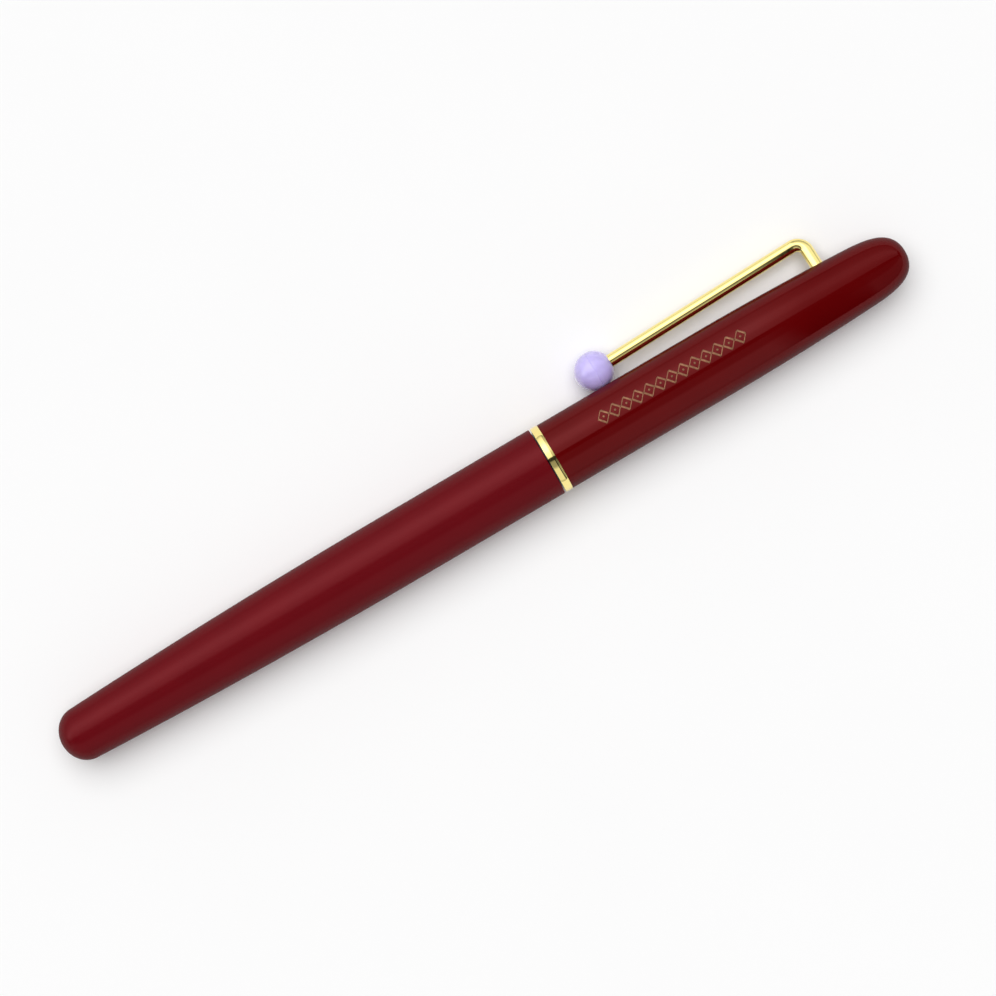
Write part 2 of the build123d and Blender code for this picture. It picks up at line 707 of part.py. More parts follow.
SCREW_SOCKET = 0.65  # the hexagon socket's corner radius
SOCKET_DEPTH = 1.1
with BuildPart() as clip_screw:
    with BuildSketch(across(ANCHOR_START)):
        Circle(SCREW_RADIUS)
    extrude(amount=LEG_X - LEG_HOLE_RADIUS - ANCHOR_START)
    with BuildSketch(across(ANCHOR_START)):
        RegularPolygon(SCREW_SOCKET, 6)
    extrude(amount=SOCKET_DEPTH, mode=Mode.SUBTRACT)
save(clip_screw.part, "clip_screw")

# --- Clip -----------------------------------------------------------------------------------------
# The wire runs from inside the ball along the arm, bends once and goes through the cap to the anchor.
ARM_SLOPE = (CLIP_TOP - BALL_REACH) / (LEG_X - BALL_X)
WIRE_START = (BALL_X - WIRE_IN_BALL, BALL_REACH - WIRE_IN_BALL * ARM_SLOPE)
WIRE_CORNER = (LEG_X, CLIP_TOP)
WIRE_END = (LEG_X, -LEG_DEPTH)
with BuildPart() as clip_wire:
    with BuildLine(CLIP_PLANE) as wire_path:
        FilletPolyline(WIRE_START, WIRE_CORNER, WIRE_END, radius=CLIP_BEND)
    with BuildSketch(Plane(origin=wire_path.wires()[0] @ 0, z_dir=wire_path.wires()[0] % 0)):
        Circle(WIRE_RADIUS)
    sweep()
save(clip_wire.part, "clip_wire")

with BuildPart() as clip_ball:
    ball_centre = CLIP_PLANE.from_local_coords((BALL_X, BALL_REACH, 0))
    arm_direction = (CLIP_PLANE.x_dir + CLIP_PLANE.y_dir * ARM_SLOPE).normalized()
    with Locations(Location(ball_centre)):
        Sphere(BALL_RADIUS)
    split(bisect_by=Plane(origin=ball_centre + arm_direction * BALL_FLAT, z_dir=-arm_direction))
    with BuildSketch(Plane(origin=CLIP_PLANE.from_local_coords(WIRE_START + (0,)), z_dir=arm_direction)):
        Circle(WIRE_RADIUS)
    extrude(amount=2 * BALL_RADIUS, mode=Mode.SUBTRACT)
save(clip_ball.part, "clip_ball")
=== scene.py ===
"""Looks of a capped fountain pen that lies on a table: lacquered metal cap and barrel, gold trim and a
bent-wire clip with a plastic ball on its end, and the nib, section and converter inside.

Sizes are in millimetres along and across the pen, as (distance from the tail, radius), and the
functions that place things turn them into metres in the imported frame.
"""

from math import asin, atan2, cos, degrees, hypot, pi, radians, sin, sqrt

import bpy
import numpy as np
from mathutils import Matrix, Vector


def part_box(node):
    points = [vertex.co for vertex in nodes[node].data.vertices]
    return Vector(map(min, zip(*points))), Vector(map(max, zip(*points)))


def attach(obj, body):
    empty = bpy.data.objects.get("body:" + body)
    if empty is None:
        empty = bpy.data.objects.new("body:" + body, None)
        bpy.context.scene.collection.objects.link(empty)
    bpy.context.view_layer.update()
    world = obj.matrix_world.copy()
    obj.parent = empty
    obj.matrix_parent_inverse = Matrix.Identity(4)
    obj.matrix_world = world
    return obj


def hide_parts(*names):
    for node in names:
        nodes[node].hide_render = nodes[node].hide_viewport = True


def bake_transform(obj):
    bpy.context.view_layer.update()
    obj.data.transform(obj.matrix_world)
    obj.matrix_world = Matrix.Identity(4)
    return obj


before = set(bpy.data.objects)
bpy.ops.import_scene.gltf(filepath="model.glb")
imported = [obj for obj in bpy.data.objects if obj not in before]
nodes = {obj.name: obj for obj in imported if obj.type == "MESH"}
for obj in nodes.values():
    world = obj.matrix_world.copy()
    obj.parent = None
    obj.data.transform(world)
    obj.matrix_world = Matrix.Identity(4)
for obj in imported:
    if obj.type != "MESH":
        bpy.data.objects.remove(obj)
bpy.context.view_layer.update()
scene = bpy.context.scene

MM = 0.001
AROUND = 192  # steps round the pen
TINY = 1e-6  # mm, below which a radius or a gap is none
WELD_GAP = 1e-7  # metres, within which a mesh's points are one

# --- The pen's place, from the frame --------------------------------------------------------------
ring_low, ring_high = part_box("cap_ring")
ball_low, ball_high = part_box("clip_ball")
TAIL_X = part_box("barrel_shell")[0].x
AXIS_Y = (ring_low.y + ring_high.y) / 2
AXIS_Z = (ring_low.z + ring_high.z) / 2
ball_radius = (ball_high.y - ball_low.y) / 2
ball_centre = np.array(
    (ball_low.x + ball_radius, (ball_low.y + ball_high.y) / 2, (ball_low.z + ball_high.z) / 2)
)
DIP = atan2(AXIS_Z - ball_centre[2], ball_centre[1] - AXIS_Y)  # the clip's plane dips towards the table
BALL_REACH = hypot(AXIS_Z - ball_centre[2], ball_centre[1] - AXIS_Y) / MM
BALL_X = (ball_centre[0] - TAIL_X) / MM
BALL_RADIUS = ball_radius / MM

# --- Sizes, the CAD model's -----------------------------------------------------------------------
BARREL_RADIUS = 5.22
CAP_RADIUS = 5.18
RING_RADIUS = 5.26
SHELL_WALL = 0.5
TAIL_WALL, CROWN_WALL = 0.8, 0.7  # the shells' closed ends
WIRE_RADIUS = 0.97
BARREL_MOUTH = 80.45
CAP_MOUTH, RING_FRONT = 80.65, 81.8
LEG_X = 128.3
CLIP_TOP = 9.24
CLIP_BEND = 1.6
LEG_END = -1.6
# Each shell: where its taper starts and ends, its tip, its radius before and after the taper, and how
# full its end is.
CAP_SHAPE = (108.0, 132.0, 140.0, CAP_RADIUS, 4.58, (0.52, 0.86))
BARREL_SHAPE = (57.0, 3.4, 0.0, BARREL_RADIUS, 4.0, (0.55, 0.55))


class Place:
    """A straight axis to turn things round: its start, its direction and the direction of angle 0."""

    def __init__(self, origin, along, side):
        self.origin = np.array(origin, float)
        self.along = np.array(along, float) / np.linalg.norm(along)
        self.side = np.array(side, float) / np.linalg.norm(side)
        self.up = np.cross(self.along, self.side)

    def point(self, x, radius, angle=0.0):
        """The point at x and radius in mm and at that angle, in metres. Arrays work too."""
        x, radius, angle = np.broadcast_arrays(x, radius, angle)
        spoke = np.cos(angle)[..., None] * self.side + np.sin(angle)[..., None] * self.up
        return self.origin + MM * (x[..., None] * self.along + radius[..., None] * spoke)


PEN = Place((TAIL_X, AXIS_Y, AXIS_Z), (1, 0, 0), (0, cos(DIP), -sin(DIP)))
TOP = pi / 2 + DIP  # the angle round the pen that faces straight up


# --- Meshes ---------------------------------------------------------------------------------------
def new_object(name, vertices, faces, normals=None):
    """A smooth-shaded mesh object. normals is one per face corner, in order."""
    mesh = bpy.data.meshes.new(name)
    mesh.from_pydata([tuple(v) for v in vertices], [], faces)
    mesh.polygons.foreach_set("use_smooth", [True] * len(mesh.polygons))
    if normals is not None:
        mesh.normals_split_custom_set(normals)
    obj = bpy.data.objects.new(name, mesh)
    scene.collection.objects.link(obj)
    return obj


def finished(obj):
    """obj with its modifiers applied to its mesh."""
    bpy.context.view_layer.update()
    made = bpy.data.meshes.new_from_object(obj.evaluated_get(bpy.context.evaluated_depsgraph_get()))
    obj.modifiers.clear()
    obj.data = made
    return obj


def smooth_by_angle(obj, angle=30):
    """Smooth shading, with edges sharper than the angle kept crisp."""
    obj.data.polygons.foreach_set("use_smooth", [True] * len(obj.data.polygons))
    obj.data.set_sharp_from_angle(angle=radians(angle))
    return obj


def run(points):
    """A smooth stretch of an outline, walked with the material on the right: points and normals."""
    points = np.array(points, float)
    if len(points) == 1:
        return points, np.zeros((1, 2))
    step = np.gradient(points, axis=0)
    normals = np.column_stack((-step[:, 1], step[:, 0]))
    return points, normals / np.linalg.norm(normals, axis=1)[:, None]


def bend(x, radius, size, start, end, steps=6):
    """A rounded edge about (x, radius), its normal turning from start to end degrees."""
    angles = np.radians(np.linspace(start, end, steps + 1))
    normals = np.column_stack((np.cos(angles), np.sin(angles)))
    return np.array((x, radius)) + normals * size, normals


def rounded(*corners):
    """Runs for straight lines between corners given as (x, radius, rounding). They need to close."""
    runs = []
    points = [np.array(c[:2], float) for c in corners]
    for i, corner in enumerate(corners):
        size = corner[2] if len(corner) > 2 else 0
        before = points[i] - points[i - 1]
        after = points[(i + 1) % len(points)] - points[i]
        before, after = before / np.linalg.norm(before), after / np.linalg.norm(after)
        turn = atan2(before[0] * after[1] - before[1] * after[0], before @ after)
        if size == 0 or abs(turn) < 0.01:
            runs.append(run([points[i]]))
            continue
        start = points[i] - before * size * abs(np.tan(turn / 2))
        first = np.array((-before[1], before[0]))
        centre = start + first * size * (1 if turn > 0 else -1)
        angle = np.arctan2(first[1], first[0]) + np.linspace(0, turn, 6)
        normals = np.column_stack((np.cos(angle), np.sin(angle)))
        runs.append((centre + normals * size * (-1 if turn > 0 else 1), normals))
    return runs


def lathe(name, runs, place=PEN, closed=False, around=AROUND):
    """Turns an outline round the place's axis, with exact normals. Straight lines join its runs, and
    an outline that isn't closed starts and ends on the axis."""
    rings, strips = [], []
    for points, normals in runs:
        if rings:
            if np.linalg.norm(points[0] - rings[-1]) > TINY:
                line_normals = run([rings[-1], points[0]])[1]
                strips.append((line_normals[0], line_normals[1]))
                rings.append(points[0])
        else:
            rings.append(points[0])
        for k in range(len(points) - 1):
            strips.append((normals[k], normals[k + 1]))
            rings.append(points[k + 1])
    if closed:
        line_normals = run([rings[-1], rings[0]])[1]
        strips.append((line_normals[0], line_normals[1]))
    angles = np.arange(around) * 2 * pi / around
    vertices, firsts = [], []
    for x, radius in rings:
        firsts.append(len(vertices))
        spots = angles if radius > TINY else angles[:1]
        vertices.extend(place.point(x, radius, spots))
    spokes = np.cos(angles)[:, None] * place.side + np.sin(angles)[:, None] * place.up
    following = np.roll(np.arange(around), -1)
    faces, corners = [], []
    for k, (start, end) in enumerate(strips):
        a, b = k, (k + 1) % len(rings)
        n_a = start[0] * place.along + start[1] * spokes
        n_b = end[0] * place.along + end[1] * spokes
        for j, after in enumerate(following):
            if rings[a][1] <= TINY:
                faces.append((firsts[a], firsts[b] + after, firsts[b] + j))
                corners += [n_a[j], n_b[after], n_b[j]]
            elif rings[b][1] <= TINY:
                faces.append((firsts[a] + j, firsts[a] + after, firsts[b]))
                corners += [n_a[j], n_a[after], n_b[j]]
            else:
                faces.append((firsts[a] + j, firsts[a] + after, firsts[b] + after, firsts[b] + j))
                corners += [n_a[j], n_a[after], n_b[after], n_b[j]]
    return new_object(name, vertices, faces, corners)


def skin(name, rows, place=PEN, around=AROUND, crease=35):
    """A loop of rows round the place's axis, each (x, radius) in mm. Either can be an array with a
    value per angle, so a row can follow a thread, a flute or a flat. A solid piece's first and last
    rows have radius 0."""
    angles = np.arange(around) * 2 * pi / around
    vertices = np.concatenate([place.point(x, radius, angles) for x, radius in rows])
    faces = []
    solid = np.all(rows[0][1] == 0)
    for k in range(len(rows) - 1 if solid else len(rows)):
        a, b = k * around, (k + 1) % len(rows) * around
        for j in range(around):
            after = (j + 1) % around
            faces.append((a + j, a + after, b + after, b + j))
    obj = new_object(name, vertices, faces)
    if solid:
        obj.modifiers.new("axis", "WELD").merge_threshold = WELD_GAP
        finished(obj)
    smooth_by_angle(obj, crease)
    obj.modifiers.new("normals", "WEIGHTED_NORMAL").keep_sharp = True
    return finished(obj)


def rounded_rows(*corners):
    """Rows for skin along straight lines between rounded corners."""
    return [tuple(point) for points, _ in rounded(*corners) for point in points]


WIRE_EDGE = 0.15  # bevel of the wire's cut ends


def wire(name, path, radius, normal, steps=48):
    """A round wire along a flat path in metres. normal is square to the path's plane."""
    path = np.array(path)
    ahead = np.gradient(path, axis=0)
    ahead /= np.linalg.norm(ahead, axis=1)[:, None]
    normal = np.array(normal, float)
    across = np.cross(ahead, normal)
    sizes = np.full(len(path), radius)
    sizes[0] = sizes[-1] = radius - WIRE_EDGE
    angles = np.arange(steps) * 2 * pi / steps
    vertices = [path[0]]
    for spot, side, size in zip(path, across, sizes):
        spokes = np.cos(angles)[:, None] * normal + np.sin(angles)[:, None] * side
        vertices.extend(spot + size * MM * spokes)
    vertices.append(path[-1])
    faces = []
    last = len(vertices) - 1
    for j in range(steps):
        after = (j + 1) % steps
        faces.append((0, 1 + after, 1 + j))
        faces.append((last, last - steps + j, last - steps + after))
        for k in range(len(path) - 1):
            a, b = 1 + k * steps, 1 + (k + 1) * steps
            faces.append((a + j, a + after, b + after, b + j))
    return smooth_by_angle(new_object(name, vertices, faces), 50)


# --- Outlines of the two shells -------------------------------------------------------------------
def shell_line(mouth, shape, inset=0.0, end_inset=0.0):
    """Outline of a shell's outside from its mouth to its tip, or of its bore with inset."""
    taper_start, taper_end, tip, wide, narrow, fullness = shape
    way = 1 if tip > mouth else -1
    wide, narrow, tip = wide - inset, narrow - inset, tip - way * end_inset
    straight = [(x, wide) for x in np.linspace(mouth, taper_start, 16)[:-1]]
    length, drop = abs(taper_end - taper_start), wide - narrow
    arc_radius = (length**2 + drop**2) / (2 * drop)
    taper = []
    for travel in np.linspace(0, length, 60):
        taper.append((taper_start + way * travel, wide - arc_radius + sqrt(arc_radius**2 - travel**2)))
    slope = asin(length / arc_radius)
    reach = abs(tip - taper_end) * fullness[0]
    anchors = np.array(
        (
            (taper_end, narrow),
            (taper_end + way * reach * cos(slope), narrow - reach * sin(slope)),
            (tip, narrow * fullness[1]),
            (tip, 0),
        )
    )
    t = np.linspace(0, 1, 40)[1:, None]
    nose = (
        (1 - t) ** 3 * anchors[0]
        + 3 * (1 - t) ** 2 * t * anchors[1]
        + 3 * (1 - t) * t**2 * anchors[2]
        + t**3 * anchors[3]
    )
    return straight + taper + [tuple(p) for p in nose]


EDGE = 0.09  # rounding of the shells' mouths
cap_line = np.array(shell_line(RING_FRONT + EDGE, CAP_SHAPE))

# --- Materials ------------------------------------------------------------------------------------
def surface(
    name,
    colour,
    rough,
    metallic=0.0,
    shade=0.06,
    patch=4.0,
    rough_spread=0.03,
    rough_size=1.5,
    bump=0.0,
    bump_size=0.3,
    stretch=(1, 1, 1),
    **fixed,
):
    """A Principled material whose colour drifts over patches, and whose roughness and bump follow
    noise. Sizes are in mm: patch, rough_size and bump_size are the noise's, and bump is its height.
    stretch scales the noise's coordinates. fixed sets the shader's other sockets."""
    material = bpy.data.materials.new(name)
    material.use_nodes = True
    tree = material.node_tree
    shader = tree.nodes["Principled BSDF"]
    coordinates = tree.nodes.new("ShaderNodeTexCoord")
    mapping = tree.nodes.new("ShaderNodeMapping")
    mapping.inputs["Scale"].default_value = stretch
    tree.links.new(coordinates.outputs["Object"], mapping.inputs["Vector"])

    def noise(size, detail):
        node = tree.nodes.new("ShaderNodeTexNoise")
        node.inputs["Scale"].default_value = 1 / (size * MM)
        node.inputs["Detail"].default_value = detail
        tree.links.new(mapping.outputs["Vector"], node.inputs["Vector"])
        return node.outputs["Fac"]

    ramp = tree.nodes.new("ShaderNodeValToRGB")
    for element, scale in zip(ramp.color_ramp.elements, (1 - shade, 1 + shade)):
        element.color = (*[min(1.0, c * scale) for c in colour], 1)
    ramp.color_ramp.elements[0].position = 0.3
    ramp.color_ramp.elements[1].position = 0.7
    tree.links.new(noise(patch, 3), ramp.inputs["Fac"])
    tree.links.new(ramp.outputs["Color"], shader.inputs["Base Color"])
    spread = tree.nodes.new("ShaderNodeMapRange")
    spread.inputs["From Min"].default_value = 0.3
    spread.inputs["From Max"].default_value = 0.7
    spread.inputs["To Min"].default_value = max(0.0, rough - rough_spread)
    spread.inputs["To Max"].default_value = rough + rough_spread
    tree.links.new(noise(rough_size, 4), spread.inputs["Value"])
    tree.links.new(spread.outputs["Result"], shader.inputs["Roughness"])
    if bump:
        relief = tree.nodes.new("ShaderNodeBump")
        relief.inputs["Distance"].default_value = bump * MM
        relief.inputs["Strength"].default_value = 1.0
        tree.links.new(noise(bump_size, 2), relief.inputs["Height"])
        tree.links.new(relief.outputs["Normal"], shader.inputs["Normal"])
    shader.inputs["Metallic"].default_value = metallic
    for socket, value in fixed.items():
        shader.inputs[socket.replace("_", " ")].default_value = value
    return material


def lacquer(name, colour, metallic, rough, rough_spread, bump, bump_size):
    """Red lacquer over metal: a clear coat, and under it a colour that is partly a metal's."""
    return surface(
        name, colour, rough, metallic, shade=0.035, patch=6, rough_spread=rough_spread,
        bump=bump, bump_size=bump_size, Coat_Weight=0.24, Coat_Roughness=rough, Coat_IOR=1.5,
        Specular_IOR_Level=0.0, Specular_Tint=(0.0, 0.0, 0.0, 1.0),
    )


cap_lacquer = lacquer("cap_lacquer", (0.122, 0.0011, 0.0018), 0.2, 0.05, 0.015, 0.001, 1.6)
barrel_lacquer = lacquer("barrel_lacquer", (0.132, 0.0011, 0.0045), 0.14, 0.24, 0.03, 0.0015, 0.4)
gold = surface(
    "gold", (1.0, 0.83, 0.31), 0.07, 1.0, shade=0.02, rough_spread=0.03, bump=0.0008, bump_size=0.5
)
foil_gold = surface("foil", (0.32, 0.15, 0.08), 0.4, 0.7, shade=0.3, patch=0.4, rough_spread=0.1)
lilac = surface(
    "lilac_plastic", (0.57, 0.49, 0.93), 0.12, shade=0.05, patch=1.2, bump=0.004, bump_size=0.5,
    Subsurface_Weight=0.15, Subsurface_Radius=(1, 0.8, 1.2), Subsurface_Scale=0.0006,
    Coat_Weight=1.0, Coat_Roughness=0.12, IOR=1.5,
)
brass = surface(
    "brass", (0.80, 0.60, 0.28), 0.22, 1.0, shade=0.08, bump=0.002, bump_size=0.25, stretch=(6, 1, 1)
)
steel = surface("steel", (0.72, 0.71, 0.69), 0.14, 1.0, bump=0.001, bump_size=0.4)
dark_steel = surface("dark_steel", (0.055, 0.055, 0.06), 0.2, 1.0, bump=0.001, bump_size=0.4)
nib_steel = surface("nib_steel", (0.80, 0.79, 0.77), 0.1, 1.0, bump=0.001, bump_size=0.5)
pellet = surface("nib_pellet", (0.74, 0.73, 0.71), 0.45, 0.9, patch=0.3)
black = surface("black_plastic", (0.012, 0.012, 0.013), 0.16, shade=0.2, bump=0.001, bump_size=0.6, IOR=1.5)
grey = surface("grey_plastic", (0.22, 0.23, 0.25), 0.45, bump=0.002, bump_size=0.2, IOR=1.48)
rubber = surface("rubber", (0.015, 0.015, 0.016), 0.55, shade=0.2, bump=0.003, bump_size=0.2, IOR=1.5)
clear = surface(
    "clear_plastic", (0.93, 0.95, 0.97), 0.04, shade=0.01, rough_spread=0.02,
    Transmission_Weight=1.0, IOR=1.49,
)


def dress(obj, material):
    obj.data.materials.clear()
    obj.data.materials.append(material)
    return obj


# The CAD nodes that are shown as they are.
CAD_LOOKS = (
    (brass, ("barrel_bush", "clip_anchor")),
    (steel, ("snap_ring", "cap_clutch", "clip_screw", "converter_band")),
    (pellet, ("nib_tipping",)),
    (black, ("grip_section", "feed", "nib_housing", "inner_cap", "converter_knob")),
    (grey, ("rod_guide",)),
    (rubber, ("piston_seal", "section_o_ring")),
)
for material, names in CAD_LOOKS:
    for name in names:
        dress(nodes[name], material)

# --- Barrel ---------------------------------------------------------------------------------------
barrel_outside = shell_line(BARREL_MOUTH - EDGE, BARREL_SHAPE)
barrel_bore = shell_line(BARREL_MOUTH - EDGE, BARREL_SHAPE, SHELL_WALL, TAIL_WALL)
barrel = lathe(
    "barrel_tube",
    [
        run(barrel_outside[::-1]),
        bend(BARREL_MOUTH - EDGE, BARREL_RADIUS - EDGE, EDGE, 90, 0),
        bend(BARREL_MOUTH - EDGE, BARREL_RADIUS - SHELL_WALL + EDGE, EDGE, 0, -90),
        run(barrel_bore),
    ],
)
dress(barrel, barrel_lacquer)
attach(barrel, "barrel")
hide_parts("barrel_shell")

# --- Cap ------------------------------------------------------------------------------------------
cap_bore = shell_line(RING_FRONT + EDGE, CAP_SHAPE, SHELL_WALL, CROWN_WALL)
cap = lathe(
    "cap_tube",
    [
        run(cap_bore[::-1]),
        bend(RING_FRONT + EDGE, CAP_RADIUS - SHELL_WALL + EDGE, EDGE, -90, -180),
        bend(RING_FRONT + EDGE, CAP_RADIUS - EDGE, EDGE, 180, 90),
        run(cap_line),
    ],
)
HOLE_RADIUS = WIRE_RADIUS + 0.03
CUT_FROM, CUT_TO = 2, 8  # from the pen's axis, well inside the bore to well outside the cap
leg_place = Place(PEN.point(LEG_X, 0), PEN.side, PEN.along)
cutter_corners = ((CUT_FROM, 0), (CUT_FROM, HOLE_RADIUS), (CUT_TO, HOLE_RADIUS), (CUT_TO, 0))
cutter = lathe("leg_cutter", [run([corner]) for corner in cutter_corners], leg_place, around=64)
cut = cap.modifiers.new("leg_hole", "BOOLEAN")
cut.object = cutter
cut.solver = "EXACT"
finished(cap)
bpy.data.objects.remove(cutter)


SKIN_GAP = 0.004  # a point this close to an outline is on it
NOSE_END = 136.0  # beyond this, normals are looked up by radius
TIP_DEPTH = 0.3  # the flat middle of the crown, where a point's distance along tells nothing
SAME_WAY = 0.97  # cosine between a face and the normal of the outline that it lies on


def cap_normals(mesh):
    """Exact normals for the cut cap's outside and bore. Other faces keep their own."""
    outside, outside_normals = run(cap_line)
    bore, bore_normals = run(cap_bore)
    normals = []
    for face in mesh.polygons:
        for index in face.vertices:
            point = np.array(mesh.vertices[index].co) - PEN.origin
            x = point[0] / MM
            spoke = point - point[0] * PEN.along
            radius = np.linalg.norm(spoke) / MM
            spoke /= max(np.linalg.norm(spoke), 1e-12)
            best = np.array(face.normal)
            for line, line_normals in ((outside, outside_normals), (bore, -bore_normals)):
                near = abs(radius - np.interp(x, line[:, 0], line[:, 1])) < SKIN_GAP
                if near or x > line[-1, 0] - TIP_DEPTH:
                    if x > NOSE_END:
                        n_x = np.interp(radius, line[::-1, 1], line_normals[::-1, 0])
                    else:
                        n_x = np.interp(x, line[:, 0], line_normals[:, 0])
                    n_r = sqrt(max(0.0, 1 - n_x**2)) * (1 if line is outside else -1)
                    exact = n_x * PEN.along + n_r * spoke
                    if exact @ np.array(face.normal) > SAME_WAY:
                        best = exact
                        break
            normals.append(best)
    return normals


cap.data.polygons.foreach_set("use_smooth", [True] * len(cap.data.polygons))
cap.data.normals_split_custom_set(cap_normals(cap.data))
dress(cap, cap_lacquer)
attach(cap, "cap")
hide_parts("cap_shell")

# --- Trim ring ------------------------------------------------------------------------------------
RING_BORE = 4.55
SLEEVE_END = 84.2
RING_CROWN = 0.08  # how far the ring's middle stands over its sides
RING_EDGE, SLEEVE_EDGE, MOUTH_EDGE = 0.06, 0.05, 0.1  # roundings
RING_SIDE = RING_RADIUS - RING_CROWN
RING_HALF = (RING_FRONT - CAP_MOUTH) / 2
SLEEVE_RADIUS = CAP_RADIUS - SHELL_WALL
crown_radius = (RING_HALF**2 + (RING_RADIUS - RING_SIDE) ** 2) / (2 * (RING_RADIUS - RING_SIDE))
crown_turn = degrees(asin((RING_HALF - RING_EDGE) / crown_radius))
crown_x = CAP_MOUTH + RING_HALF
edge_radius = RING_SIDE - SLEEVE_EDGE
ring = lathe(
    "trim_ring",
    [
        bend(CAP_MOUTH + RING_EDGE, edge_radius, RING_EDGE, 180, 90 + crown_turn),
        bend(crown_x, RING_RADIUS - crown_radius, crown_radius, 90 + crown_turn, 90 - crown_turn, 12),
        bend(RING_FRONT - RING_EDGE, edge_radius, RING_EDGE, 90 - crown_turn, 0),
        run([(RING_FRONT, SLEEVE_RADIUS)]),
        bend(SLEEVE_END - SLEEVE_EDGE, SLEEVE_RADIUS - SLEEVE_EDGE, SLEEVE_EDGE, 90, 0, 3),
        bend(SLEEVE_END - SLEEVE_EDGE, RING_BORE + SLEEVE_EDGE, SLEEVE_EDGE, 0, -90, 3),
        bend(CAP_MOUTH + MOUTH_EDGE, RING_BORE + MOUTH_EDGE, MOUTH_EDGE, -90, -180),
    ],
    closed=True,
)
dress(ring, gold)
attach(ring, "cap")
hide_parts("cap_ring")

# --- Clip -----------------------------------------------------------------------------------------
arm_slope = (CLIP_TOP - BALL_REACH) / (LEG_X - BALL_X)
WIRE_IN_BALL = 1.2
LEG_STEP = 0.2
FLEX_START, FLEX_END = 4.0, 5.6  # FLEX_START, FLEX_END = 4.0, 5.6 # the stretch of the leg where the clip flexes, from the pen's axis; only two points on it are computed, and nothing uses them
arm_angle = atan2(arm_slope, 1)
bend_turn = pi / 2 + arm_angle
setback = CLIP_BEND * np.tan(bend_turn / 2)
arm_start = np.array((BALL_X - WIRE_IN_BALL, BALL_REACH - WIRE_IN_BALL * arm_slope))
corner = np.array((LEG_X, CLIP_TOP))
arm_way = np.array((cos(arm_angle), sin(arm_angle)))
bend_start = corner - setback * arm_way
bend_centre = bend_start + CLIP_BEND * np.array((sin(arm_angle), -cos(arm_angle)))
path = [arm_start, arm_start + WIRE_EDGE * arm_way]
path += [arm_start + (bend_start - arm_start) * share for share in np.linspace(0.02, 1, 60)[:-1]]
for angle in np.linspace(pi / 2 + arm_angle, 0, 28):
    path.append(bend_centre + CLIP_BEND * np.array((cos(angle), sin(angle))))
leg_heights = np.arange(CLIP_TOP - setback - LEG_STEP, LEG_END + WIRE_EDGE, -LEG_STEP)
path += [np.array((LEG_X, height)) for height in (*leg_heights, LEG_END + WIRE_EDGE, LEG_END)]
clip = wire("clip_rod", [PEN.point(x, height) for x, height in path], WIRE_RADIUS, PEN.up)
dress(clip, gold)
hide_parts("clip_wire")
PEN.point(LEG_X, FLEX_START)
PEN.point(LEG_X, FLEX_END)
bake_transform(clip)

# The ball is turned about the arm: a flat round the wire, and a fine parting line round its middle.
BALL_FLAT = 2.6
FLAT_EDGE, SOCKET_EDGE = 0.12, 0.06
SOCKET_RADIUS = WIRE_RADIUS + 0.04
SEAM, SEAM_DEPTH = 1.1, 0.045  # degrees from the middle to the parting line's edge, and mm
arm = Place(
    ball_centre,
    arm_way[0] * PEN.along + arm_way[1] * PEN.side,
    arm_way[0] * PEN.side - arm_way[1] * PEN.along,
)
flat_angle = degrees(asin(BALL_FLAT / BALL_RADIUS))
flat_radius = sqrt(BALL_RADIUS**2 - BALL_FLAT**2)


def sphere_run(start, end, steps):
    """A run over the ball from one angle to another, in degrees from its equator."""
    angles = np.radians(np.linspace(start, end, steps + 1))
    normals = np.column_stack((np.sin(angles), np.cos(angles)))
    return normals * BALL_RADIUS, normals


ball = lathe(
    "clip_bead",
    [
        sphere_run(-90, -SEAM, 40),
        run([(0, BALL_RADIUS - SEAM_DEPTH)]),
        sphere_run(SEAM, flat_angle - 2, 30),
        *rounded(
            (BALL_FLAT, flat_radius, FLAT_EDGE),
            (BALL_FLAT, SOCKET_RADIUS, SOCKET_EDGE),
            (-WIRE_IN_BALL, SOCKET_RADIUS),
        )[:2],
        run([(-WIRE_IN_BALL, SOCKET_RADIUS)]),
        run([(-WIRE_IN_BALL, 0)]),
    ],
    place=arm,
    around=128,
)
dress(ball, lilac)
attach(ball, "clip")
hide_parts("clip_ball")

# --- Section and converter ------------------------------------------------------------------------
SECTION_AROUND = 144
section_angles = np.arange(SECTION_AROUND) * 2 * pi / SECTION_AROUND
RIDGE_FOOT, RIDGE_SLOPE = 0.8, 0.6  # a thread's ridge and its flanks, as shares of half the pitch


def thread(x, root, crest, pitch, start, end):
    """A single-start thread's radius at x, for each angle. It runs out at both ends."""
    phase = (x / pitch - section_angles / (2 * pi)) % 1
    height = np.clip((RIDGE_FOOT - np.abs(2 * phase - 1)) / RIDGE_SLOPE, 0, 1)
    fade = np.clip(min(x - start, end - x) / pitch, 0, 1)
    return root + (crest - root) * height**2 * (3 - 2 * height) * fade


